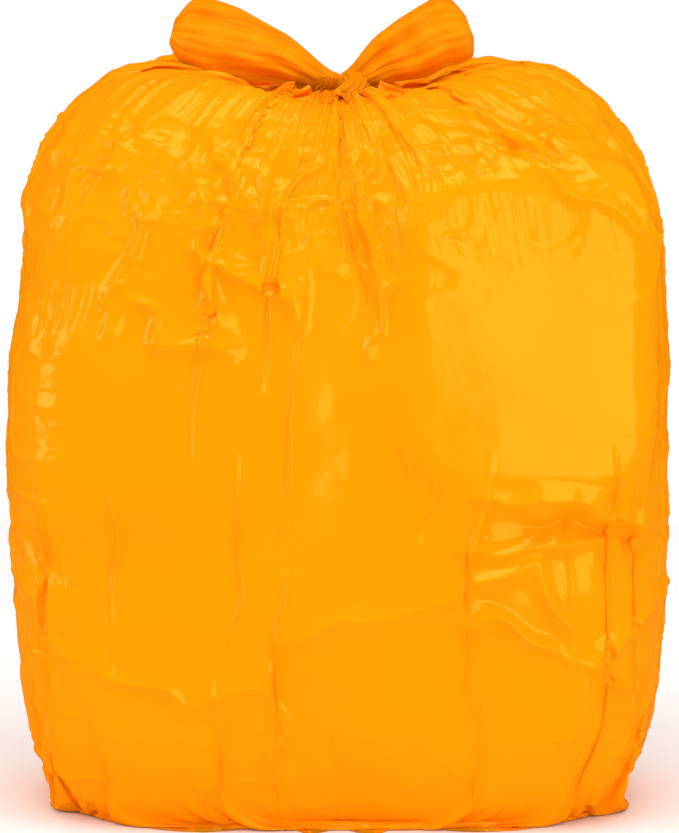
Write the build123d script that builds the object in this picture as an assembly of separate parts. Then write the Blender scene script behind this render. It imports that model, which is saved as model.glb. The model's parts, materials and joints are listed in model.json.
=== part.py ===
"""A filled biohazard waste sack of thin polythene film, tied shut by its two ears, standing on its base.

Millimetres, +Z up. The origin is the middle of the base, on the surface that the sack stands on. The broad front
faces -Y. The film is one tube, welded flat across the bottom. The contents fill it, and above them it gathers into
a neck, then a half knot of two strands, and the two ears that the strands end in. The girth of the full sack is
that of the flat one, 2 x 711 mm, and the film's way from the weld to an ear's tip is about the flat sack's 991 mm.
"""

import os
from math import cos, pi, radians, sin

from build123d import *

# Driving dimensions
SACK_WIDTH = 500.0
SACK_DEPTH = 300.0
SHOULDER_HEIGHT = 545.0
FILM = 1.2  # modelled wall; the real film is 0.05 mm
FILL_GAP = 2.0  # between the film's inside and the contents
BUNDLE_GAP = 5.0  # between neighbouring bundles of waste
BUNDLE_DIVISION = 15.0  # where the left bundles meet the right ones
SHOULDER_SEAM = 440.0  # where the packed body of the sack ends and the slack film of its shoulders begins
CORNER_SHARE = 0.70  # corner radius as a share of a section's half depth

# Height, and the share of the half width and the half depth, of each section of the sack from the base up
SECTIONS = (
    (0.0, 0.800, 0.760),
    (16.0, 0.875, 0.860),
    (60.0, 0.930, 0.930),
    (120.0, 0.970, 0.975),
    (220.0, 1.000, 1.000),
    (330.0, 0.990, 0.990),
    (401.0, 0.969, 0.960),
    (450.0, 0.930, 0.900),
    (485.0, 0.865, 0.810),
    (512.0, 0.785, 0.680),
    (533.0, 0.660, 0.530),
    (SHOULDER_HEIGHT, 0.500, 0.360),
)

# The saddle that the neck rises from, between the two shoulders
SADDLE_FLOOR = 484.0
SADDLE_FLOOR_SIZE = (30.0, 46.0)  # half width and half depth at its floor
SADDLE_TOP_SIZE = (137.0, 200.0)  # half width and half depth where it leaves the shoulders
SADDLE_TOP = 548.0
MOUTH_RADIUS = 18.0  # where the film passes up into the neck

# The neck
NECK_GAP = 0.6  # between the neck's foot and the saddle
NECK_FOOT_RADIUS = 28.0
NECK_TOP_RADIUS = 17.0
NECK_TOP = 493.0
NECK_PLEATS = 10
PLEAT_DEPTH = 2.4

# The half knot: each strand climbs half a turn round the other
KNOT_GAP = 1.6  # between the neck and the knot, so that the knot can lean
STRAND_RADIUS = 9.0
TWIST_RADIUS = 12.0
TWIST_RISE = 22.0
KNOT_FOOT = NECK_TOP + KNOT_GAP + STRAND_RADIUS

# The ears. Distances run along an ear from its foot, above the knot.
EAR_FOOT_OUT = 5.0
EAR_FOOT_HEIGHT = 541.0
ROOT_SECTIONS = ((0.0, 3.2, 3.2), (8.0, 6.0, 5.6), (14.0, 6.5, 4.6), (18.0, 6.5, 1.2))
BLADE_START = 20.4
BLADE_SECTIONS = (
    (0.00, 0.30, 1.2),
    (0.10, 0.38, 3.6),
    (0.30, 0.58, 4.6),
    (0.55, 0.86, 4.0),
    (0.80, 1.00, 3.2),
    (0.94, 0.80, 2.4),
    (1.00, 0.45, 1.8),
)
LEFT_EAR = {"side": -1, "slope": 14.0, "reach": 123.0, "half_width": 22.5}
RIGHT_EAR = {"side": 1, "slope": 21.0, "reach": 97.0, "half_width": 26.0}

# The bottom weld, in a groove across the base, and the tucks of spare film at its ends
WELD_LENGTH = 360.0
WELD_WIDTH = 10.0
WELD_THICKNESS = 1.4
WELD_CLEARANCE = 0.4  # the weld stays this much above the floor
GROOVE_MARGIN = 3.0
TUCK_THICKNESS = 2.6
TUCK_TOP = 62.0
TUCK_FOOT = 3.0
TUCK_HALF_DEPTH = 30.0


def sack_solid(inset):
    """The sack's closed outer shape, drawn in from its surface by inset, without its saddle and groove."""
    faces = []
    for height, wide, deep in SECTIONS:
        half_width = SACK_WIDTH / 2 * wide - inset
        half_depth = SACK_DEPTH / 2 * deep - inset
        level = inset + height * (SHOULDER_HEIGHT - 2 * inset) / SHOULDER_HEIGHT
        outline = RectangleRounded(2 * half_width, 2 * half_depth, CORNER_SHARE * half_depth)
        faces.append(Pos(0, 0, level) * outline)
    return loft(faces)


def saddle_space(inset):
    """The space above the saddle, grown downwards and outwards by inset."""
    floor = Ellipse(SADDLE_FLOOR_SIZE[0] + inset, SADDLE_FLOOR_SIZE[1] + inset)
    top = Ellipse(SADDLE_TOP_SIZE[0] + inset, SADDLE_TOP_SIZE[1] + inset)
    return loft([Pos(0, 0, SADDLE_FLOOR - inset) * floor, Pos(0, 0, SADDLE_TOP) * top])


def groove_space(inset):
    """The space for the weld in the base, grown by inset."""
    margin = 2 * (GROOVE_MARGIN + inset)
    height = WELD_CLEARANCE + WELD_THICKNESS + inset
    return extrude(Rectangle(WELD_LENGTH + margin, WELD_WIDTH + margin), height)


def hollowed_sack(inset):
    """The sack's outer shape with its saddle and its groove."""
    return sack_solid(inset) - saddle_space(inset) - groove_space(inset)


def film_shell():
    """The film from the weld to the mouth, as one thin shell with the mouth open into the neck."""
    shell = hollowed_sack(0) - hollowed_sack(FILM)
    mouth = Pos(0, 0, SADDLE_FLOOR) * Cylinder(MOUTH_RADIUS, 6 * FILM)
    return shell - mouth


def above_seam():
    """The space above the shoulder seam."""
    reach = 2 * SACK_WIDTH
    return Pos(0, 0, SHOULDER_SEAM + reach / 2) * Box(reach, reach, reach)


def sack_film(shell):
    """The film round the packed body of the sack."""
    return shell - above_seam()


def shoulder_film(shell):
    """The slack film of the shoulders and the saddle, which is drawn up when the sack is lifted."""
    return shell & above_seam()


def bottom_weld():
    """The flat weld that closes the tube, lying against the base."""
    strip = extrude(Rectangle(WELD_LENGTH, WELD_WIDTH), WELD_THICKNESS)
    return Pos(0, 0, WELD_CLEARANCE) * strip


def corner_tuck(side):
    """The dog-ear of spare film at one end of the weld, folded up against the sack's end as a triangle."""
    reach = SACK_WIDTH
    skin = sack_solid(-TUCK_THICKNESS) - sack_solid(0)
    corners = [(-TUCK_HALF_DEPTH, TUCK_FOOT), (TUCK_HALF_DEPTH, TUCK_FOOT), (0, TUCK_TOP)]
    flap = extrude(Plane.YZ * Polygon(*corners, align=None), side * reach)
    return skin & flap


def waste_bundles():
    """The contents: three bundles on the left and two on the right, with a gap between neighbours."""
    inside = hollowed_sack(FILM + FILL_GAP)
    stacks = (
        ("left", -1, (("lower", 0.0, 205.0), ("middle", 205.0, 375.0), ("upper", 375.0, SHOULDER_HEIGHT))),
        ("right", 1, (("lower", 0.0, 232.0), ("upper", 232.0, SHOULDER_HEIGHT))),
    )
    bundles = {}
    for side, sign, tiers in stacks:
        centre = BUNDLE_DIVISION + sign * (SACK_WIDTH + BUNDLE_GAP) / 2
        for tier, low, high in tiers:
            height = high - low - BUNDLE_GAP
            cell = Pos(centre, 0, (low + high) / 2) * Box(SACK_WIDTH, SACK_WIDTH, height)
            bundles[f"{tier}_{side}_bundle"] = inside & cell
    return bundles


def pleated_outline(radius):
    """A closed round outline with the neck's pleats standing out of it."""
    steps = 4 * NECK_PLEATS
    points = []
    for step in range(steps):
        turn = 2 * pi * step / steps
        reach = radius - PLEAT_DEPTH * (0.5 - 0.5 * cos(NECK_PLEATS * turn))
        points.append((reach * cos(turn), reach * sin(turn)))
    return make_face(Spline(*points, periodic=True))


def neck_gather():
    """The pleated cone of film between the mouth and the knot."""
    foot = Pos(0, 0, SADDLE_FLOOR + NECK_GAP) * pleated_outline(NECK_FOOT_RADIUS)
    top = Pos(0, 0, NECK_TOP) * pleated_outline(NECK_TOP_RADIUS)
    return loft([foot, top])


def knot_strand(side):
    """One strand of the half knot: it climbs half a turn round the other and ends on the side given, under its ear.
    The right ear's strand passes in front."""
    points = []
    for step in range(7):
        turn = pi * step / 6
        forward = -side * TWIST_RADIUS * sin(turn)
        points.append((-side * TWIST_RADIUS * cos(turn), forward, KNOT_FOOT + TWIST_RISE * step / 6))
    path = Spline(*points)
    start = Plane(path @ 0, z_dir=path % 0)
    return sweep(start * Circle(STRAND_RADIUS), path=path)


def ear_section(ear, distance, half_width, half_thickness):
    """One section of an ear: half_width lies in the plane of the two ears, and half_thickness front to back."""
    slope = radians(ear["slope"])
    along = Vector(ear["side"] * cos(slope), 0, sin(slope))
    across = Vector(-ear["side"] * sin(slope), 0, cos(slope))
    foot = Vector(ear["side"] * EAR_FOOT_OUT, 0, EAR_FOOT_HEIGHT)
    return Plane(foot + along * distance, x_dir=across, z_dir=along) * Ellipse(half_width, half_thickness)


def ear_root(ear):
    """The tight gathered root of an ear, which ends in the crease that the ear's blade folds on."""
    return loft([ear_section(ear, distance, wide, thick) for distance, wide, thick in ROOT_SECTIONS])


def ear_blade(ear):
    """The flattened lobe of film beyond the crease."""
    length = ear["reach"] - BLADE_START
    faces = []
    for share, wide, thick in BLADE_SECTIONS:
        faces.append(ear_section(ear, BLADE_START + share * length, wide * ear["half_width"], thick))
    return loft(faces)


def parts():
    """Every named piece of the sack."""
    shell = film_shell()
    made = {
        "sack_film": sack_film(shell),
        "shoulder_film": shoulder_film(shell),
        "bottom_weld": bottom_weld(),
        "left_corner_tuck": corner_tuck(-1),
        "right_corner_tuck": corner_tuck(1),
        "neck_gather": neck_gather(),
        "left_knot_strand": knot_strand(-1),
        "right_knot_strand": knot_strand(1),
        "left_ear_root": ear_root(LEFT_EAR),
        "right_ear_root": ear_root(RIGHT_EAR),
        "left_ear": ear_blade(LEFT_EAR),
        "right_ear": ear_blade(RIGHT_EAR),
    }
    made.update(waste_bundles())
    return made


os.makedirs("parts", exist_ok=True)
for name, solid in parts().items():
    export_step(solid, f"parts/{name}.step")
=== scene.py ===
"""The looks of a filled biohazard waste sack of glossy polythene film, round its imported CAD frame. Metres."""

import json
from math import cos, pi, radians, sin

import bmesh
import bpy
import numpy as np
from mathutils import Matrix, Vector


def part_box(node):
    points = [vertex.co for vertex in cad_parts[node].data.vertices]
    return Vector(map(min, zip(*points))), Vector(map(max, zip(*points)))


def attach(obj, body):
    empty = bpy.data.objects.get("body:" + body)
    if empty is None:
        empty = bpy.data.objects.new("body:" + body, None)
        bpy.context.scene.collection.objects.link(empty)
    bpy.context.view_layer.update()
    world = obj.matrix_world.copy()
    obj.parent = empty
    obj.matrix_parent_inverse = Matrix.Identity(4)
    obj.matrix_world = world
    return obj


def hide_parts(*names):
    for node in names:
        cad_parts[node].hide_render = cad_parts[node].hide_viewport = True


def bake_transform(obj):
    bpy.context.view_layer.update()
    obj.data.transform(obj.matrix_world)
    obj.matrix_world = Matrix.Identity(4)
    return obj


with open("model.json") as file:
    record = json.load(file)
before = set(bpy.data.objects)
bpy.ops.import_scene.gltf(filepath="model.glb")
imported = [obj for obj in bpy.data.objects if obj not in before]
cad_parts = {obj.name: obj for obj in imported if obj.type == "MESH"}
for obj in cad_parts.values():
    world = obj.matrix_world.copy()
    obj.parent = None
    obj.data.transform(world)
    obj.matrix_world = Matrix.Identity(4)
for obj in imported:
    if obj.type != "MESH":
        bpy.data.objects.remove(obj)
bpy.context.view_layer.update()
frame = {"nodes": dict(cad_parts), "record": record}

SEED = 11

# Sizes from the frame
film_low, film_high = (np.array(corner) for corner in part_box("sack_film"))
shoulder_high = np.array(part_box("shoulder_film")[1])
HALF_WIDTH = (film_high[0] - film_low[0]) / 2
HALF_DEPTH = (film_high[1] - film_low[1]) / 2
HEIGHT = shoulder_high[2]
NECK_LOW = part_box("neck_gather")[0]
JOINTS = {joint["name"]: joint for joint in frame["record"]["behaviour"]["joints"]}

# Photographic set-up
VIEW_ELEVATION = radians(10)
VIEW_DISTANCE = 4.5
VIEW_AIM = Vector((0.0, 0.0, 0.286))
VIEW_HEIGHT = 0.614  # how much of the sack's upright plane the frame shows

# The film
HIGHLIGHT_TINT = (1.0, 0.85, 0.10)
ROWS, COLUMNS = 91, 120  # of the coarsest film grid
SKIN = 0.002  # between the film and the waste
FLOOR_CLEARANCE = 0.0004

# The saddle in the waste, under the neck
SADDLE_FLOOR = NECK_LOW[2] - 0.012
SADDLE_RISE = 0.080
SADDLE_HALF_WIDTH = 0.55 * HALF_WIDTH
SADDLE_HALF_DEPTH = 0.62 * HALF_WIDTH


def smoothstep(low, high, value):
    """0 below low, 1 above high, and smooth between."""
    t = np.clip((value - low) / (high - low), 0, 1)
    return t * t * (3 - 2 * t)


def lengths_of(vectors):
    return np.sqrt(np.einsum("...i,...i->...", vectors, vectors))


# ---------------------------------------------------------------- the waste inside

# For each bundle: the radius of its corners seen from the front, the radius of its front and back edges, its
# turn about Z in degrees, and how far it is drawn in from its CAD box at its low and high corners
BUNDLES = {
    "lower_left_bundle": (0.055, 0.050, 3, (0.020, 0.006, 0.002), (0.000, 0.006, 0.002)),
    "middle_left_bundle": (0.050, 0.060, 4, (0.003, 0.000, 0.002), (0.000, 0.000, 0.000)),
    "upper_left_bundle": (0.085, 0.070, 6, (0.004, 0.012, 0.000), (0.012, 0.012, 0.006)),
    "lower_right_bundle": (0.055, 0.050, -5, (0.000, 0.004, 0.002), (0.018, 0.010, 0.010)),
    "upper_right_bundle": (0.100, 0.045, -7, (0.002, 0.000, 0.002), (0.004, 0.004, 0.008)),
}


def bundle_shape(node):
    """A bundle's centre, half size, corner radius, edge radius and turn."""
    corner, edge, turn, low_inset, high_inset = BUNDLES[node]
    low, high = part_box(node)
    low = np.array(low) + low_inset
    high = np.array(high) - high_inset
    return (low + high) / 2, (high - low) / 2, corner, edge, radians(turn)


def turned(points, turn):
    """points turned about Z."""
    x, y, z = points[..., 0], points[..., 1], points[..., 2]
    return np.stack([cos(turn) * x - sin(turn) * y, sin(turn) * x + cos(turn) * y, z], axis=-1)


def rounded(across, along, radius):
    """The distance to a rounded corner, from the distances past its two sides."""
    both = np.stack([across, along], axis=-1) + radius
    return lengths_of(np.maximum(both, 0)) + np.minimum(both.max(axis=-1), 0) - radius


def bundle_distance(points, centre, half, corner, edge, turn):
    """Distance from points to a pillow-shaped box; negative inside."""
    past = np.abs(turned(points - centre, -turn)) - half
    front = rounded(past[..., 0], past[..., 2], corner)
    return rounded(front, past[..., 1], edge)


def smooth_union(a, b, reach):
    """The distance to two shapes joined, with the groove between them filled smoothly."""
    share = np.clip(0.5 + 0.5 * (b - a) / reach, 0, 1)
    return b + (a - b) * share - reach * share * (1 - share)


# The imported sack's outer shape: shares of its height, of its half width and of its half depth
BODY = (
    (0.000, 0.805, 0.760),
    (0.040, 0.875, 0.840),
    (0.080, 0.925, 0.890),
    (0.125, 0.962, 0.930),
    (0.220, 0.995, 0.972),
    (0.350, 1.014, 0.990),
    (0.480, 1.010, 1.000),
    (0.600, 0.994, 0.990),
    (0.736, 0.969, 0.960),
    (0.810, 0.942, 0.910),
    (0.880, 0.880, 0.830),
    (0.935, 0.793, 0.700),
    (0.975, 0.675, 0.540),
    (1.000, 0.500, 0.360),
)
BODY_SQUARENESS = 3.4
CREST_RISE = 0.014  # the crests of the shoulders stand this much above the CAD film, before they are rounded


def outside_body(points):
    """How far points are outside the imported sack's shape, in shares of its size there."""
    height, wide, deep = np.array(BODY).T
    share = points[..., 2] / (HEIGHT + CREST_RISE)
    x = np.abs(points[..., 0]) / (HALF_WIDTH * np.interp(share, height, wide))
    y = np.abs(points[..., 1]) / (HALF_DEPTH * np.interp(share, height, deep))
    across = (x**BODY_SQUARENESS + y**BODY_SQUARENESS) ** (1 / BODY_SQUARENESS) - 1
    return np.maximum(across, share - 1)


def above_saddle(points):
    """How far points are above the saddle that the waste leaves for the neck."""
    out = np.hypot(points[..., 0] / SADDLE_HALF_WIDTH, points[..., 1] / SADDLE_HALF_DEPTH)
    surface = SADDLE_FLOOR + np.maximum(out - 0.2, 0) * SADDLE_RISE
    return 0.85 * (points[..., 2] - surface)


# The flat-fronted pack that shows through the film at the front right: its centre, half size, corner radius,
# edge radius and turn
PANEL = (np.array((0.124, -0.008, 0.368)), np.array((0.094, 0.132, 0.126)), 0.052, 0.026, radians(5.5))


class Fill:
    """The distance to the waste inside the film, sampled on a grid with its outward direction."""

    CELL = 0.006
    MARGIN = 0.06
    GROOVE = 0.022
    ROUNDING = 0.020
    INSET = 0.005
    SADDLE_SLACK = 0.026  # how far the slack film stands off the waste in the saddle
    PANEL_GROOVE = 0.010
    LUMPS = 0.006  # how deep the grooves between bundles can be

    def __init__(self):
        self.low = film_low - self.MARGIN
        top = np.array([film_high[0], film_high[1], HEIGHT]) + self.MARGIN
        self.size = np.ceil((top - self.low) / self.CELL).astype(int) + 1
        axes = [self.low[i] + self.CELL * np.arange(self.size[i]) for i in range(3)]
        points = np.stack(np.meshgrid(*axes, indexing="ij"), axis=-1)
        distance = None
        for node in BUNDLES:
            one = bundle_distance(points, *bundle_shape(node))
            distance = one if distance is None else smooth_union(distance, one, self.GROOVE)
        body = outside_body(points)
        steepness = lengths_of(np.stack(np.gradient(body, self.CELL), axis=-1))
        body = np.clip(body / np.maximum(steepness, 1.0), -0.2, 0.2) + self.INSET
        distance = smooth_union(distance, body + self.LUMPS, self.GROOVE)
        for limit in (body, above_saddle(points) - self.SADDLE_SLACK):
            distance = -smooth_union(-distance, -limit, self.ROUNDING)
        distance = smooth_union(distance, bundle_distance(points, *PANEL), self.PANEL_GROOVE)
        outward = np.stack(np.gradient(distance, self.CELL), axis=-1)
        outward /= np.maximum(lengths_of(outward), 1e-6)[..., None]
        table = np.concatenate([distance[..., None], outward], axis=-1)
        self.table = table.astype(np.float32).reshape(-1, 4)

    def at(self, points):
        """The distance and the outward direction at points, interpolated."""
        place = (points - self.low) / self.CELL
        cell = np.clip(np.floor(place).astype(np.int32), 0, self.size - 2)
        part = np.clip(place - cell, 0, 1).astype(np.float32)
        first = (cell[..., 0] * self.size[1] + cell[..., 1]) * self.size[2] + cell[..., 2]
        total = 0
        for dx in (0, 1):
            for dy in (0, 1):
                for dz in (0, 1):
                    weight = 1.0
                    for axis, step in enumerate((dx, dy, dz)):
                        weight = weight * (part[..., axis] if step else 1 - part[..., axis])
                    corner = first + (dx * self.size[1] + dy) * self.size[2] + dz
                    total = total + weight[..., None] * self.table[corner]
        return total[..., 0], total[..., 1:]


# ---------------------------------------------------------------- the film before it settles

# The film's way from the weld up to the neck, as shares of the half width, the half depth and the height of
# the sack at its front and at its sides, and how square the outline is there
STATIONS = (
    (0.700, 0.004, 0.003, 0.003, 2.4),
    (0.740, 0.420, 0.003, 0.003, 3.0),
    (0.800, 0.760, 0.003, 0.003, 4.0),
    (0.865, 0.850, 0.025, 0.025, 4.0),
    (0.905, 0.900, 0.060, 0.060, 4.0),
    (0.935, 0.940, 0.110, 0.110, 4.0),
    (0.970, 0.975, 0.220, 0.220, 4.0),
    (1.000, 1.000, 0.400, 0.400, 4.0),
    (0.992, 0.990, 0.600, 0.600, 4.0),
    (0.970, 0.960, 0.735, 0.735, 3.8),
    (0.930, 0.905, 0.815, 0.825, 3.5),
    (0.865, 0.820, 0.870, 0.890, 3.2),
    (0.785, 0.700, 0.905, 0.940, 3.0),
    (0.660, 0.560, 0.925, 0.980, 2.8),
    (0.520, 0.440, 0.940, 1.005, 2.5),
    (0.380, 0.330, 0.950, 1.000, 2.3),
    (0.250, 0.270, 0.960, 0.990, 2.1),
    (0.165, 0.235, 0.968, 0.980, 2.0),
    (0.135, 0.220, 0.974, 0.978, 2.0),
)


def outline(turns, half_width, half_depth, power):
    """Points of a rounded oblong at the given turns."""
    c, s = np.cos(turns), np.sin(turns)
    x = half_width * np.sign(c) * np.abs(c) ** (2 / power)
    y = half_depth * np.sign(s) * np.abs(s) ** (2 / power)
    return x, y


def even_turns(count):
    """Turns that are evenly spaced along the sack's girth, so that every column of film is as wide."""
    turns = np.linspace(0, 2 * pi, 4001)
    x, y = outline(turns, HALF_WIDTH, HALF_DEPTH, 4.0)
    along = np.concatenate([[0], np.cumsum(np.hypot(np.diff(x), np.diff(y)))])
    return np.interp(np.arange(count) / count * along[-1], along, turns)


def start_grid(rows, columns):
    """The film as rows from the weld to the neck, and columns round the sack."""
    turns = even_turns(columns)
    rings = []
    for wide, deep, front, side, power in STATIONS:
        x, y = outline(turns, HALF_WIDTH * wide, HALF_DEPTH * deep, power)
        z = HEIGHT * (front + (side - front) * np.cos(turns) ** 2)
        rings.append(np.stack([x, y, z], axis=1))
    rings = np.array(rings)
    steps = lengths_of(np.diff(rings, axis=0)).mean(axis=1)
    along = np.concatenate([[0], np.cumsum(steps)])
    wanted = np.linspace(0, along[-1], rows)
    slopes = np.gradient(rings, along, axis=0)
    k = np.clip(np.searchsorted(along, wanted, side="right") - 1, 0, len(along) - 2)
    span = (along[k + 1] - along[k])[:, None, None]
    t = (wanted - along[k])[:, None, None] / span
    grid = (2 * t**3 - 3 * t**2 + 1) * rings[k] + (3 * t**2 - 2 * t**3) * rings[k + 1]
    grid += (t**3 - 2 * t**2 + t) * span * slopes[k] + (t**3 - t**2) * span * slopes[k + 1]
    return grid.astype(np.float32)


# ---------------------------------------------------------------- settling the film

def pull(a, b, rest, stiffness):
    """Moves each pair of points in a and b towards its rest length apart."""
    gap = b - a
    gap *= (0.5 * stiffness * (1 - rest / (lengths_of(gap) + 1e-9)))[..., None]
    a += gap
    b -= gap


def pull_rows(x, rest, stiffness):
    for first in (0, 1):
        last = first + (len(x) - first) // 2 * 2
        pull(x[first:last:2], x[first + 1:last:2], rest[first:last:2], stiffness)


def pull_columns(x, rest, stiffness):
    pull(x[:, 0::2], x[:, 1::2], rest[:, 0::2], stiffness)
    pull(x[:, 1:-1:2], x[:, 2::2], rest[:, 1:-1:2], stiffness)
    pull(x[:, -1], x[:, 0], rest[:, -1], stiffness)


def pull_diagonals(x, rest, stiffness):
    for first in (0, 1):
        last = first + (len(x) - first) // 2 * 2
        low, high = x[first:last:2], x[first + 1:last:2]
        across = rest[first:last:2, :-1]
        pull(low[:, :-1], high[:, 1:], across, stiffness)
        pull(low[:, 1:], high[:, :-1], across, stiffness)


def curvature(x):
    """How far each point lies from the mean of its neighbours."""
    bent = np.roll(x, 1, 1) + np.roll(x, -1, 1) - 2 * x
    bent[1:-1] += x[2:] + x[:-2] - 2 * x[1:-1]
    return bent


def outward_normals(x):
    across = np.roll(x, -1, 1) - np.roll(x, 1, 1)
    up = np.gradient(x, axis=0)
    normals = np.cross(across, up)
    return normals / (lengths_of(normals)[..., None] + 1e-9)


def settle(grid, rest_across, rest_up, fill, steps, weight, cling, bending):
    """Lets the film sag, wrinkle and rest on the waste: position-based dynamics on the film's own grid.
    weight and cling are how far a point falls, or is drawn to the waste, in one step."""
    x = grid.copy()
    before = x.copy()
    top, foot = x[-2:].copy(), x[:2].copy()
    up_beside = np.roll(rest_up, -1, 1)
    rest_diagonal = np.sqrt((rest_across[:-1] ** 2 + rest_across[1:] ** 2 + rest_up**2 + up_beside**2) / 2)
    distance, outward = fill.at(x)
    for _ in range(steps):
        move = 0.92 * (x - before)
        before = x.copy()
        x += move - cling * np.clip(distance / 0.004, 0, 1)[..., None] * outward
        x[..., 2] -= weight
        for _ in range(2):
            pull_rows(x, rest_up, 1.0)
            pull_columns(x, rest_across, 1.0)
            pull_diagonals(x, rest_diagonal, 0.25)
        stiff = curvature(curvature(x))
        stiff[:2] = 0
        stiff[-2:] = 0
        x -= bending * stiff
        distance, outward = fill.at(x)
        deep = np.maximum(SKIN - distance, 0)
        x += deep[..., None] * outward
        held = deep > 0
        before[held] = x[held] - 0.3 * (x - before)[held]
        np.maximum(x[..., 2], 0.0006, out=x[..., 2])
        x[-2:], x[:2] = top, foot
    return x


def refine(grid):
    """The same surface with twice the rows and columns."""
    rows, columns, _ = grid.shape
    fine = np.empty((2 * rows - 1, 2 * columns, 3), grid.dtype)
    beside = 9 * (grid + np.roll(grid, -1, 1)) - np.roll(grid, 1, 1) - np.roll(grid, -2, 1)
    fine[0::2, 0::2] = grid
    fine[0::2, 1::2] = beside / 16
    whole = fine[0::2]
    between = (whole[1:] + whole[:-1]) / 2
    between[1:-1] = (9 * (whole[2:-1] + whole[1:-2]) - whole[3:] - whole[:-3]) / 16
    fine[1::2] = between
    return fine


def streaks(rows, columns, round_cells, up_cells, random):
    """Smooth noise on the film's grid, in cells that repeat round the sack."""
    values = random.standard_normal((up_cells + 3, round_cells))
    across = np.arange(columns) / columns * round_cells
    up = np.linspace(0, up_cells, rows)
    i, j = np.floor(up).astype(int), np.floor(across).astype(int)
    s, t = smoothstep(0, 1, up - i)[:, None], smoothstep(0, 1, across - j)
    left, right = j % round_cells, (j + 1) % round_cells
    low = values[i][:, left] * (1 - t) + values[i][:, right] * t
    high = values[i + 1][:, left] * (1 - t) + values[i + 1][:, right] * t
    return (low * (1 - s) + high * s).astype(np.float32)


def rest_lengths(start):
    """How long the film's threads are, across and up: taut low down, and longer than the shape needs where
    the film is gathered, draped or dented."""
    way = np.linspace(0, 1, len(start))[:, None]
    x, y, z = start[..., 0], start[..., 1], start[..., 2]
    spare = -0.018 + 0.09 * smoothstep(0.62, 0.80, way) + 0.12 * smoothstep(0.80, 0.97, way)
    dent = np.exp(-((x - 0.16) / 0.07) ** 2 - ((z - 0.17) / 0.08) ** 2) * (y < 0)
    draped = np.exp(-((x + 0.12) / 0.06) ** 2 - ((z - 0.43) / 0.07) ** 2) * (y < 0)
    side = smoothstep(0.80, 0.97, np.abs(x) / HALF_WIDTH)
    across = lengths_of(np.roll(start, -1, 1) - start) * (1 + spare + 0.04 * dent + 0.02 * side)
    slack = 0.995 + 0.033 * smoothstep(0.62, 0.80, way) + 0.04 * dent + 0.03 * draped + 0.03 * side
    up = lengths_of(np.diff(start, axis=0)) * slack[:-1]
    return across.astype(np.float32), up.astype(np.float32)


# How far a point falls, and is drawn to the waste, in one step of the coarsest level
WEIGHT = 0.00004
CLING = 0.00003

FOLD_LIFT = 1.5  # times the heights below
# The large folds of the front: half width, height, and the points (x, z) that each runs through
FRONT_FOLDS = (
    # from the knot, down beside the right bundle
    (0.012, 0.0050, ((0.034, 0.520), (0.017, 0.476), (0.034, 0.407), (0.036, 0.360))),
    (0.009, 0.0030, ((0.014, 0.520), (0.002, 0.470), (0.008, 0.420))),
    # over the right shoulder
    (0.010, 0.0040, ((0.040, 0.520), (0.090, 0.528), (0.203, 0.510))),
    (0.009, 0.0035, ((0.060, 0.515), (0.134, 0.515), (0.218, 0.459))),
    (0.009, 0.0030, ((0.075, 0.505), (0.150, 0.498), (0.232, 0.430))),
    # the facets of the left shoulder
    (0.014, 0.0050, ((-0.150, 0.379), (-0.084, 0.359))),
    (0.010, 0.0045, ((-0.091, 0.502), (-0.056, 0.455), (-0.052, 0.502))),
    (0.012, 0.0045, ((-0.056, 0.455), (-0.039, 0.373))),
    (0.008, 0.0030, ((-0.050, 0.472), (-0.003, 0.495))),
    (0.012, 0.0040, ((-0.124, 0.499), (-0.161, 0.401), (-0.150, 0.379))),
    (0.012, 0.0045, ((-0.102, 0.502), (-0.106, 0.430), (-0.084, 0.359))),
    (0.010, 0.0035, ((-0.106, 0.430), (-0.056, 0.410), (-0.039, 0.373))),
    (0.010, 0.0035, ((-0.161, 0.500), (-0.200, 0.440), (-0.225, 0.350))),
    # the dent under the upper right bundle
    (0.012, 0.0045, ((0.097, 0.252), (0.170, 0.243), (0.229, 0.222))),
    (0.012, -0.0040, ((0.110, 0.232), (0.180, 0.226), (0.235, 0.205))),
    (0.010, 0.0040, ((0.067, 0.207), (0.137, 0.213), (0.192, 0.218))),
    # the facets of the lower right bundle
    (0.014, 0.0050, ((0.081, 0.180), (0.137, 0.201))),
    (0.014, 0.0050, ((0.137, 0.201), (0.170, 0.132))),
    (0.012, 0.0040, ((0.081, 0.180), (0.120, 0.150), (0.170, 0.132))),
    (0.012, 0.0040, ((0.178, 0.127), (0.229, 0.162))),
    (0.012, 0.0040, ((0.178, 0.127), (0.222, 0.088))),
    (0.012, 0.0035, ((0.178, 0.127), (0.148, 0.073))),
    # the lower front
    (0.013, 0.0035, ((-0.052, 0.125), (-0.045, 0.065), (-0.028, 0.020))),
    (0.018, 0.0030, ((-0.198, 0.129), (-0.130, 0.112), (-0.058, 0.103))),
    (0.018, 0.0030, ((-0.039, 0.147), (0.020, 0.158), (0.082, 0.177))),
    (0.010, 0.0035, ((-0.232, 0.237), (-0.215, 0.170), (-0.222, 0.088))),
    (0.009, 0.0030, ((-0.215, 0.200), (-0.200, 0.120))),
)

# For each level of detail: steps, how far a wrinkle is started, and the film's stiffness in bending
LEVELS = ((160, 0.0016, 0.0006), (140, 0.0007, 0.0003), (70, 0.00035, 0.0002))


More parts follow.
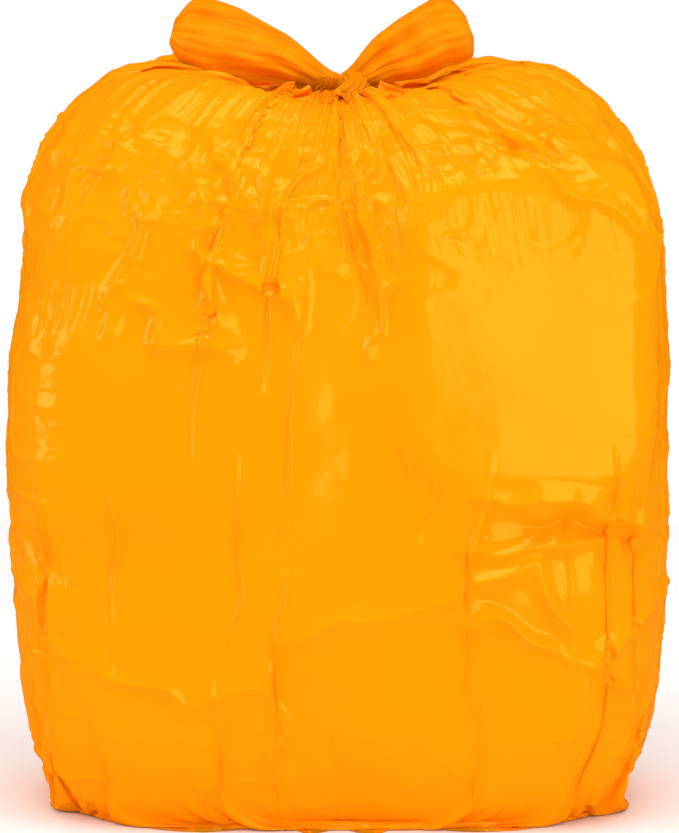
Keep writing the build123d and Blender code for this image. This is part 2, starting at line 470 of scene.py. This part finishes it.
def settled_film():
    """The film round the waste, settled level by level so that large folds come first and fine ones last."""
    random = np.random.default_rng(SEED)
    fill = Fill()
    film = start_grid(ROWS, COLUMNS)
    start = film.copy()
    for level, (steps, seed_depth, bending) in enumerate(LEVELS):
        if level:
            film, start = refine(film), refine(start)
        rows, columns, _ = film.shape
        way = np.linspace(0, 1, rows)[:, None]
        pleats = streaks(rows, columns, 120 * 2**level, 8, random)
        pleats += 0.5 * streaks(rows, columns, 30, 20 * 2**level, random)
        pleats *= 0.35 + 0.65 * smoothstep(0.6, 0.8, way)
        film = film + seed_depth * pleats[..., None] * outward_normals(film)
        across, up = rest_lengths(start)
        film = settle(film, across, up, fill, steps, WEIGHT / 2**level, CLING / 2**level, bending)
    return sculpted(refine(film), random)


def ridged(noise):
    """Noise turned into sharp crests between flat troughs, from -1 to 1."""
    return 1 - 2 * np.clip(np.abs(noise) * 1.4, 0, 1)


def fold_height(x, z, half_width, height, line):
    """How far a sharp-crested fold along a line of points lifts the film at x and z."""
    nearest = np.full(x.shape, 1.0)
    fade = np.ones(x.shape)
    total = sum(np.hypot(b[0] - a[0], b[1] - a[1]) for a, b in zip(line, line[1:]))
    gone = 0.0
    for (x0, z0), (x1, z1) in zip(line, line[1:]):
        reach = np.hypot(x1 - x0, z1 - z0)
        share = np.clip(((x - x0) * (x1 - x0) + (z - z0) * (z1 - z0)) / reach**2, 0, 1)
        away = np.hypot(x - x0 - share * (x1 - x0), z - z0 - share * (z1 - z0))
        way = (gone + share * reach) / total
        fade = np.where(away < nearest, np.sin(pi * np.clip(0.12 + 0.76 * way, 0, 1)), fade)
        nearest = np.minimum(nearest, away)
        gone += reach
    return height * fade * np.maximum(1 - nearest / half_width, 0) ** 1.4


def sculpted(film, random):
    """The settled film with its large folds, the strands round its gathered top and its small crumples."""
    rows, columns, _ = film.shape
    loosened = smoothstep(0.70, 0.82, np.linspace(0, 1, rows))[1:-1, None, None]
    for _ in range(10):
        film[1:-1] += 0.2 * loosened * curvature(film)[1:-1]
    normals = outward_normals(film)
    for _ in range(10):
        normals = normals + np.roll(normals, 1, 1) + np.roll(normals, -1, 1)
        normals /= lengths_of(normals)[..., None]
    x, y, z = film[..., 0], film[..., 1], film[..., 2]
    way = np.linspace(0, 1, rows)[:, None]
    wobble = 0.006 * streaks(rows, columns, 60, 30, random)
    free = (1 - smoothstep(0.16, 0.23, np.abs(x))) * (1 - smoothstep(0.72, 0.86, way))
    free = free * smoothstep(0.0, 0.04, z)
    broad = 0.007 * streaks(rows, columns, 14, 7, random)
    narrow = 0.003 * streaks(rows, columns, 40, 22, random)
    sideways = free * (broad + narrow)
    upwards = free * 0.005 * streaks(rows, columns, 18, 7, random)
    front = smoothstep(0.02, -0.06, y)
    lift = np.zeros((rows, columns))
    for half_width, height, line in FRONT_FOLDS:
        lift += fold_height(x + wobble, z + wobble, half_width, FOLD_LIFT * height, line)
    lift *= front
    gathered = smoothstep(0.70, 0.93, way)
    strands = 0.0024 * ridged(streaks(rows, columns, 100, 9, random))
    strands += 0.0015 * ridged(streaks(rows, columns, 200, 12, random))
    lift += gathered * strands * (0.6 + 0.4 * smoothstep(0.85, 1.0, way))
    crumpled = 0.75 * smoothstep(0.64, 0.78, way) + 0.45 * smoothstep(0.16, 0.235, np.abs(x))
    crumpled = np.clip(crumpled + 0.4 * smoothstep(0.10, 0.02, z), 0.04, 1.0)
    across_panel = smoothstep(0.025, 0.045, x) * smoothstep(0.225, 0.205, x)
    up_panel = smoothstep(0.240, 0.260, z) * smoothstep(0.500, 0.480, z)
    crumpled *= 1 - 0.55 * across_panel * up_panel * front
    noise = streaks(rows, columns, 52, 34, random)
    crumples = 0.0020 * ridged(noise + streaks(rows, columns, 30, 20, random))
    crumples += 0.0007 * ridged(streaks(rows, columns, 130, 90, random))
    lift += crumpled * crumples * (1 - 0.75 * smoothstep(0.76, 0.88, way))
    lift *= smoothstep(0.0, 0.05, z) * 0.8 + 0.2
    film = film + (lift[..., None] * normals).astype(np.float32)
    film[..., 0] += sideways
    film[..., 2] = np.maximum(film[..., 2] + upwards, FLOOR_CLEARANCE)
    return film


# ---------------------------------------------------------------- meshes

def grid_mesh(name, grid, closed_round=True):
    """A smooth-shaded mesh of a grid of points, with UVs in metres of film."""
    rows, columns, _ = grid.shape
    index = np.arange(rows * columns).reshape(rows, columns)
    beside = np.roll(index, -1, 1) if closed_round else index[:, 1:]
    here = index if closed_round else index[:, :-1]
    quads = np.stack([here[:-1], beside[:-1], beside[1:], here[1:]], axis=-1).reshape(-1, 4)
    mesh = bpy.data.meshes.new(name)
    mesh.vertices.add(rows * columns)
    mesh.vertices.foreach_set("co", grid.reshape(-1).astype(np.float32))
    mesh.loops.add(quads.size)
    mesh.loops.foreach_set("vertex_index", quads.reshape(-1).astype(np.int32))
    mesh.polygons.add(len(quads))
    mesh.polygons.foreach_set("loop_start", np.arange(0, quads.size, 4, dtype=np.int32))
    mesh.polygons.foreach_set("use_smooth", np.ones(len(quads), dtype=bool))
    mesh.update(calc_edges=True)
    uv = mesh.uv_layers.new(name="film")
    girth = 2 * 0.711
    reach = 0.75
    column = np.arange(columns + 1) / columns * girth
    row = np.linspace(0, reach, rows)
    u = np.stack([column[:-1], column[1:], column[1:], column[:-1]], axis=-1)[None].repeat(rows - 1, 0)
    v = np.stack([row[:-1], row[:-1], row[1:], row[1:]], axis=-1)[:, None].repeat(columns, 1)
    if not closed_round:
        u, v = u[:, :-1], v[:, :-1]
    uv.data.foreach_set("uv", np.stack([u, v], axis=-1).reshape(-1).astype(np.float32))
    piece = bpy.data.objects.new(name, mesh)
    bpy.context.scene.collection.objects.link(piece)
    return piece


# ---------------------------------------------------------------- the waste bundles

BUNDLE_INSET = 0.008
BUNDLE_CUTS = 36


def bundle_piece(node, random):
    """A crumpled lump of waste in the place of its CAD bundle."""
    build = bmesh.new()
    bmesh.ops.create_cube(build, size=2)
    bmesh.ops.subdivide_edges(build, edges=build.edges[:], cuts=BUNDLE_CUTS, use_grid_fill=True)
    mesh = bpy.data.meshes.new(node + "_lump")
    build.to_mesh(mesh)
    build.free()
    ways = np.empty(len(mesh.vertices) * 3)
    mesh.vertices.foreach_get("co", ways)
    centre, half, corner, edge, turn = bundle_shape(node)
    ways = ways.reshape(-1, 3) * half
    ways /= lengths_of(ways)[:, None]
    ways = turned(ways, turn)
    inside, outside = np.zeros(len(ways)), np.full(len(ways), 2 * lengths_of(half))
    for _ in range(24):
        reach = (inside + outside) / 2
        at = centre + ways * reach[:, None]
        past = bundle_distance(at, centre, half, corner, edge, turn)
        past = np.maximum(past, np.maximum(above_saddle(at), outside_body(at) * HALF_DEPTH)) + BUNDLE_INSET
        inside = np.where(past < 0, reach, inside)
        outside = np.where(past < 0, outside, reach)
    points = centre + ways * inside[:, None]
    dents = np.zeros(len(points))
    for size, depth in ((0.09, 0.006), (0.045, 0.004), (0.022, 0.002)):
        shifts = random.uniform(0, 2 * pi, (6, 1))
        waves = random.standard_normal((6, 3)) / size
        dents += depth * np.abs(np.sin(waves @ points.T + shifts)).mean(axis=0)
    points -= ways * dents[:, None]
    mesh.vertices.foreach_set("co", points.reshape(-1))
    mesh.polygons.foreach_set("use_smooth", np.ones(len(mesh.polygons), dtype=bool))
    mesh.update()
    lump = bpy.data.objects.new(node + "_lump", mesh)
    bpy.context.scene.collection.objects.link(lump)
    lump.data.materials.append(WASTE)
    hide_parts(node)
    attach(lump, "sack")


# ---------------------------------------------------------------- the neck, the knot and the ears

def tube_mesh(name, rings):
    """A closed mesh through rings of points, with rounded-in ends."""
    first, last = rings[0].mean(axis=0), rings[-1].mean(axis=0)
    shares = (0.0, 0.55, 0.85)
    start = [first + (rings[0] - first) * share for share in shares]
    end = [last + (rings[-1] - last) * share for share in shares[::-1]]
    whole = np.array(start + list(rings) + end)
    return grid_mesh(name, whole)


def sharp_wave(phase):
    """A wave from -1 to 1 with sharp crests and round troughs."""
    return 1 - 2 * np.abs(np.sin(phase))


def pleats_round(turns, way, count, random_phase):
    """Uneven pleats round a gathered tube, drifting along it."""
    drift = random_phase + 1.3 * np.sin(2.2 * way + random_phase)
    wave = sharp_wave(turns * count / 2 + drift)
    return 0.7 * wave + 0.3 * np.sin(turns * (count // 2 + 2) - 2 * drift)


def neck_piece():
    """The pleated collar of film between the saddle and the knot."""
    steps, columns = 26, 320
    turns = np.arange(columns) / columns * 2 * pi
    base = NECK_LOW[2]
    profile_way = np.array([0.0, 0.3, 0.6, 0.85, 1.0])
    profile_radius = np.array([0.030, 0.0285, 0.0290, 0.0285, 0.014])
    profile_height = base + np.array([-0.002, 0.010, 0.022, 0.035, 0.044])
    rings = []
    for way in np.linspace(0, 1, steps):
        radius = np.interp(way, profile_way, profile_radius)
        height = np.interp(way, profile_way, profile_height)
        swell = 1 + 0.07 * pleats_round(turns, way, 26, 0.4) + 0.03 * pleats_round(turns, way, 61, 2.0)
        reach = radius * swell
        z = height + 0.0016 * pleats_round(turns, way, 17, 1.1)
        rings.append(np.stack([reach * np.cos(turns) * 1.1, reach * np.sin(turns), z], axis=1))
    piece = tube_mesh("neck_pleats", rings)
    piece.data.materials.append(FILM)
    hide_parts("neck_gather")
    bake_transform(piece)


def sweep_rings(path, radii, columns, swell):
    """Rings of points round a path; swell(turns, way) scales each ring's radius."""
    path = np.array(path)
    tangents = np.gradient(path, axis=0)
    tangents /= lengths_of(tangents)[:, None]
    turns = np.arange(columns) / columns * 2 * pi
    side = np.cross(tangents[0], (1.0, 0.0, 0.0))
    rings = []
    for i, (point, tangent, radius) in enumerate(zip(path, tangents, radii)):
        side = side - tangent * np.dot(side, tangent)
        side /= lengths_of(side)
        other = np.cross(tangent, side)
        reach = (radius * swell(turns, i / (len(path) - 1)))[:, None]
        rings.append(point + reach * (np.cos(turns)[:, None] * side + np.sin(turns)[:, None] * other))
    return rings


def strand_piece(name, side):
    """One pleated strand of the half knot, from the neck up to its ear."""
    low, high = (np.array(corner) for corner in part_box(f"{name}_knot_strand"))
    radius = 0.0112
    twist = 0.0138
    foot, top = low[2] + 0.008, high[2] + 0.001
    path = []
    for step in np.linspace(-0.18, 1.16, 60):
        turn = pi * np.clip(step, -0.1, 1.1)
        out = twist * (1 - 0.35 * smoothstep(0.8, 1.16, step))
        path.append((-side * out * cos(turn), -side * twist * sin(turn), foot + (top - foot) * step))
    way = np.linspace(0, 1, len(path))
    radii = radius * (1.0 + 0.12 * np.sin(2 * pi * way) - 0.35 * smoothstep(0.85, 1, way))
    phase = 0.7 + side

    def swell(turns, way):
        coarse = 0.10 * pleats_round(turns, 2 * way, 15, phase)
        return 1 + coarse + 0.05 * pleats_round(turns, 3 * way, 34, phase)

    piece = tube_mesh(f"{name}_strand", sweep_rings(path, radii, 200, swell))
    piece.data.materials.append(FILM)
    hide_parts(f"{name}_knot_strand")
    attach(piece, "knot")


EAR_SINK = 0.007  # how far each ear's root dips into the knot

# Each ear: reach from its foot, and at shares of that reach its upper and lower edge and its half thickness
EARS = {
    "left": (0.121, (
        (-0.06, 0.006, -0.008, 0.0045),
        (0.06, 0.009, -0.011, 0.0065),
        (0.16, 0.013, -0.014, 0.0065),
        (0.32, 0.019, -0.018, 0.0065),
        (0.52, 0.0255, -0.0215, 0.0060),
        (0.70, 0.0300, -0.0230, 0.0055),
        (0.84, 0.0310, -0.0220, 0.0045),
        (0.94, 0.0250, -0.0170, 0.0035),
        (1.00, 0.0100, -0.0080, 0.0015),
    )),
    "right": (0.096, (
        (-0.06, 0.006, -0.008, 0.0045),
        (0.08, 0.0095, -0.012, 0.0065),
        (0.20, 0.014, -0.016, 0.0065),
        (0.38, 0.0195, -0.0205, 0.0065),
        (0.56, 0.0240, -0.0240, 0.0060),
        (0.74, 0.0280, -0.0235, 0.0055),
        (0.88, 0.0270, -0.0230, 0.0045),
        (0.96, 0.0190, -0.0190, 0.0035),
        (1.00, 0.0080, -0.0090, 0.0015),
    )),
}


def smooth_through(at, places, values):
    """A smooth curve through values."""
    slopes = np.gradient(values, places)
    k = np.clip(np.searchsorted(places, at, side="right") - 1, 0, len(places) - 2)
    span = places[k + 1] - places[k]
    t = (at - places[k]) / span
    curve = (2 * t**3 - 3 * t**2 + 1) * values[k] + (3 * t**2 - 2 * t**3) * values[k + 1]
    return curve + (t**3 - 2 * t**2 + t) * span * slopes[k] + (t**3 - t**2) * span * slopes[k + 1]


def ear_pieces(name, random):
    """An ear as two pieces: its root, at the knot, and its lobe, split off partway out towards the crease."""
    reach, profile = EARS[name]
    foot = np.array(JOINTS[f"{name}_ear_raise"]["pos_m"])
    crease = np.array(JOINTS[f"{name}_ear_fold"]["pos_m"])
    along = (crease - foot) / lengths_of(crease - foot)
    across = np.array([-along[2], 0, along[0]]) * (1 if along[0] > 0 else -1)
    table = np.array(profile)
    rows, columns = 150, 220
    turns = np.arange(columns) / columns * 2 * pi
    shares = np.linspace(table[0, 0], 1.0, rows)
    upper, lower, thick = (smooth_through(shares, table[:, 0], table[:, i]) for i in (1, 2, 3))
    phases = random.uniform(0, 2 * pi, 6)
    rings = []
    for i, share in enumerate(shares):
        flat = np.cos(turns)
        middle, half = (upper[i] + lower[i]) / 2, (upper[i] - lower[i]) / 2
        wander = 0.5 * np.sin(3 * share + phases[0])
        folds = 0.75 * sharp_wave(2.1 * flat + phases[1] + wander)
        folds += 0.25 * sharp_wave(5.3 * flat + phases[2] - wander)
        folds += 0.12 * sharp_wave(11 * flat + phases[3] + 2 * wander + 4 * share)
        swell = smoothstep(-0.06, 0.25, share) * (1 - 0.6 * smoothstep(0.8, 1.0, share))
        depth = thick[i] * np.sin(turns) * (0.55 + 0.45 * np.abs(np.sin(turns)))
        depth = depth + 0.0026 * swell * folds
        ripples = np.sin(9 * share + 5 * flat + phases[4]) * np.sin(17 * share - 4 * flat + phases[5])
        depth += 0.0015 * swell * ripples
        ragged = 1 + 0.03 * np.sin(14 * share + phases[4]) * smoothstep(0.4, 0.7, share)
        place = foot + along * (share * reach) + across * (middle + half * ragged * flat)[:, None]
        place = place - np.array([0.0, 0.0, EAR_SINK * (1 - smoothstep(0.0, 0.35, share))])
        rings.append(place + np.array([0.0, 1.0, 0.0]) * depth[:, None])
    cut = int(np.searchsorted(shares, 1.0 * lengths_of(crease - foot) / reach * 0.55))
    root = tube_mesh(f"{name}_ear_gather", rings[:cut + 1])
    lobe = tube_mesh(f"{name}_ear_lobe", rings[cut:])
    for piece, node in ((root, f"{name}_ear_root"), (lobe, f"{name}_ear")):
        piece.data.materials.append(FILM)
        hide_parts(node)
    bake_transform(root)
    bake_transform(lobe)


def tuck_piece(name, side):
    """The crumpled dog-ear of spare film that stands against an end of the sack, from the weld up."""
    low, high = (np.array(corner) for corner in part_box(f"{name}_corner_tuck"))
    rows, columns = 60, 160
    turns = np.arange(columns) / columns * 2 * pi
    rings = []
    for way in np.linspace(0, 1, rows):
        height = low[2] + way * (high[2] - low[2])
        half_depth = (high[1] - low[1]) / 2 * (1 - way) ** 0.8 + 0.0020
        wide = np.interp(height / HEIGHT, np.array(BODY)[:, 0], np.array(BODY)[:, 1])
        y = half_depth * np.cos(turns) * (1 + 0.10 * sin(11 * way))
        pucker = 0.0020 * sharp_wave(3.0 * np.cos(turns) + 2.5 * way)
        pucker += 0.0012 * sharp_wave(7.0 * np.cos(turns) - 4 * way)
        out = HALF_WIDTH * wide - 0.003 - 0.005 * way + (0.0025 * np.sin(turns) + pucker) * (1 - 0.6 * way)
        z = height + 0.0015 * np.sin(9 * np.cos(turns) + way)
        rings.append(np.stack([side * out, side * y, z], axis=1))
    piece = tube_mesh(f"{name}_tuck", rings)
    piece.data.materials.append(FILM)
    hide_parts(f"{name}_corner_tuck")
    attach(piece, "sack")


# ---------------------------------------------------------------- materials

def new_material(name):
    material = bpy.data.materials.new(name)
    material.use_nodes = True
    return material, material.node_tree, material.node_tree.nodes["Principled BSDF"]


def film_material(name="film"):
    material, tree, shader = new_material(name)
    nodes, links = tree.nodes, tree.links
    where = nodes.new("ShaderNodeTexCoord")
    tone = nodes.new("ShaderNodeTexNoise")
    tone.inputs["Scale"].default_value = 9.0
    tone.inputs["Detail"].default_value = 3.0
    links.new(where.outputs["Object"], tone.inputs["Vector"])
    colour = nodes.new("ShaderNodeValToRGB")
    colour.color_ramp.elements[0].position = 0.3
    colour.color_ramp.elements[0].color = (1.0, 0.284, 0.0008, 1)
    colour.color_ramp.elements[1].position = 0.7
    colour.color_ramp.elements[1].color = (1.0, 0.306, 0.0012, 1)
    links.new(tone.outputs["Fac"], colour.inputs["Fac"])
    links.new(colour.outputs["Color"], shader.inputs["Base Color"])
    crinkle = nodes.new("ShaderNodeTexNoise")
    crinkle.inputs["Scale"].default_value = 120.0
    crinkle.inputs["Detail"].default_value = 4.0
    links.new(where.outputs["Object"], crinkle.inputs["Vector"])
    bump = nodes.new("ShaderNodeBump")
    bump.inputs["Strength"].default_value = 0.25
    bump.inputs["Distance"].default_value = 0.0004
    links.new(crinkle.outputs["Fac"], bump.inputs["Height"])
    # fine strands along the film, where it is gathered
    film_way = nodes.new("ShaderNodeUVMap")
    film_way.uv_map = "film"
    stretch = nodes.new("ShaderNodeMapping")
    stretch.inputs["Scale"].default_value = (230.0, 18.0, 1.0)
    links.new(film_way.outputs["UV"], stretch.inputs["Vector"])
    strands = nodes.new("ShaderNodeTexNoise")
    strands.inputs["Scale"].default_value = 1.0
    strands.inputs["Detail"].default_value = 3.0
    strands.inputs["Distortion"].default_value = 0.6
    links.new(stretch.outputs["Vector"], strands.inputs["Vector"])
    place = nodes.new("ShaderNodeSeparateXYZ")
    links.new(where.outputs["Object"], place.inputs["Vector"])
    gathered = nodes.new("ShaderNodeMapRange")
    gathered.inputs["From Min"].default_value = 0.40
    gathered.inputs["From Max"].default_value = 0.50
    links.new(place.outputs["Z"], gathered.inputs["Value"])
    height = nodes.new("ShaderNodeMath")
    height.operation = "MULTIPLY"
    links.new(strands.outputs["Fac"], height.inputs[0])
    links.new(gathered.outputs["Result"], height.inputs[1])
    strand_bump = nodes.new("ShaderNodeBump")
    strand_bump.inputs["Strength"].default_value = 0.7
    strand_bump.inputs["Distance"].default_value = 0.0016
    links.new(height.outputs["Value"], strand_bump.inputs["Height"])
    links.new(bump.outputs["Normal"], strand_bump.inputs["Normal"])
    links.new(strand_bump.outputs["Normal"], shader.inputs["Normal"])
    shader.inputs["Roughness"].default_value = 0.13
    shader.inputs["IOR"].default_value = 1.5
    shader.inputs["Specular Tint"].default_value = (*HIGHLIGHT_TINT, 1)
    return material


def waste_material():
    """Pale soft waste in mottled bags."""
    material, tree, shader = new_material("waste")
    where = tree.nodes.new("ShaderNodeTexCoord")
    mottle = tree.nodes.new("ShaderNodeTexNoise")
    mottle.inputs["Scale"].default_value = 40.0
    mottle.inputs["Detail"].default_value = 5.0
    tree.links.new(where.outputs["Object"], mottle.inputs["Vector"])
    colour = tree.nodes.new("ShaderNodeValToRGB")
    colour.color_ramp.elements[0].position = 0.35
    colour.color_ramp.elements[0].color = (0.42, 0.40, 0.37, 1)
    colour.color_ramp.elements[1].position = 0.65
    colour.color_ramp.elements[1].color = (0.72, 0.70, 0.66, 1)
    tree.links.new(mottle.outputs["Fac"], colour.inputs["Fac"])
    tree.links.new(colour.outputs["Color"], shader.inputs["Base Color"])
    bump = tree.nodes.new("ShaderNodeBump")
    bump.inputs["Distance"].default_value = 0.002
    tree.links.new(mottle.outputs["Fac"], bump.inputs["Height"])
    tree.links.new(bump.outputs["Normal"], shader.inputs["Normal"])
    shader.inputs["Roughness"].default_value = 0.75
    return material


# ---------------------------------------------------------------- the set

def make_camera():
    data = bpy.data.cameras.new("camera")
    data.sensor_fit = "VERTICAL"
    data.sensor_height = 24
    data.lens = data.sensor_height * VIEW_DISTANCE / VIEW_HEIGHT
    camera = bpy.data.objects.new("camera", data)
    away = Vector((0, -cos(VIEW_ELEVATION), sin(VIEW_ELEVATION)))
    camera.location = VIEW_AIM + VIEW_DISTANCE * away
    camera.rotation_euler = (-away).to_track_quat("-Z", "Y").to_euler()
    bpy.context.scene.collection.objects.link(camera)
    bpy.context.scene.camera = camera


def softbox(name, place, aim, width, height, strength):
    data = bpy.data.lights.new(name, "AREA")
    data.shape = "RECTANGLE"
    data.size = width
    data.size_y = height
    data.energy = strength * width * height * pi
    light = bpy.data.objects.new(name, data)
    light.location = place
    light.rotation_euler = (Vector(aim) - Vector(place)).to_track_quat("-Z", "Y").to_euler()
    bpy.context.scene.collection.objects.link(light)


def make_world():
    """White surroundings, which are orange to glossy rays and pure white to the camera."""
    world = bpy.data.worlds.new("studio")
    bpy.context.scene.world = world
    world.use_nodes = True
    nodes, links = world.node_tree.nodes, world.node_tree.links
    sky = nodes["Background"]
    path = nodes.new("ShaderNodeLightPath")
    mix = nodes.new("ShaderNodeMix")
    mix.inputs["A"].default_value = 0.85
    mix.inputs["B"].default_value = 0.7
    links.new(path.outputs["Is Glossy Ray"], mix.inputs["Factor"])
    white = nodes.new("ShaderNodeMix")
    white.inputs["B"].default_value = 1.0
    links.new(path.outputs["Is Camera Ray"], white.inputs["Factor"])
    links.new(mix.outputs["Result"], white.inputs["A"])
    links.new(white.outputs["Result"], sky.inputs["Strength"])
    hue = nodes.new("ShaderNodeMix")
    hue.data_type = "RGBA"
    hue.inputs["A"].default_value = (1, 1, 1, 1)
    hue.inputs["B"].default_value = (1, 0.33, 0.002, 1)
    links.new(path.outputs["Is Glossy Ray"], hue.inputs["Factor"])
    links.new(hue.outputs["Result"], sky.inputs["Color"])


def make_floor():
    """A plain pale floor, orange to glossy rays like the surroundings."""
    bpy.ops.mesh.primitive_circle_add(vertices=96, radius=1.1, fill_type="NGON", location=(0, 0, 0))
    floor = bpy.context.object
    floor.name = "floor"
    material, tree, shader = new_material("floor")
    shader.inputs["Roughness"].default_value = 0.7
    shader.inputs["Specular IOR Level"].default_value = 0.1
    path = tree.nodes.new("ShaderNodeLightPath")
    shade = tree.nodes.new("ShaderNodeMix")
    shade.data_type = "RGBA"
    shade.inputs["A"].default_value = (0.97, 0.97, 0.97, 1)
    shade.inputs["B"].default_value = (0.60, 0.24, 0.01, 1)
    tree.links.new(path.outputs["Is Glossy Ray"], shade.inputs["Factor"])
    tree.links.new(shade.outputs["Result"], shader.inputs["Base Color"])
    floor.data.materials.append(material)


make_camera()
make_world()
make_floor()
softbox("key", (1.01, -2.02, 0.20), (0, 0, 0.3), 1.25, 1.5, 2.7)
softbox("top", (0.1, -0.6, 2.0), (0, 0, 0.4), 1.4, 0.9, 3.6)
softbox("left", (-1.9, -0.5, 0.8), (0, 0, 0.35), 0.5, 1.4, 3.0)
bpy.context.scene.view_settings.view_transform = "Standard"

FILM = film_material()
WASTE = waste_material()
pieces_random = np.random.default_rng(SEED + 1)
for node in BUNDLES:
    bundle_piece(node, pieces_random)
neck_piece()
strand_piece("left", -1)
strand_piece("right", 1)
ear_pieces("left", pieces_random)
ear_pieces("right", pieces_random)
tuck_piece("left", -1)
tuck_piece("right", 1)

film = grid_mesh("film_body", settled_film())
film.data.materials.append(FILM)
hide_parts("sack_film", "shoulder_film")
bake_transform(film)

weld = frame["nodes"]["bottom_weld"]
weld.data.materials.clear()
weld.data.materials.append(FILM)
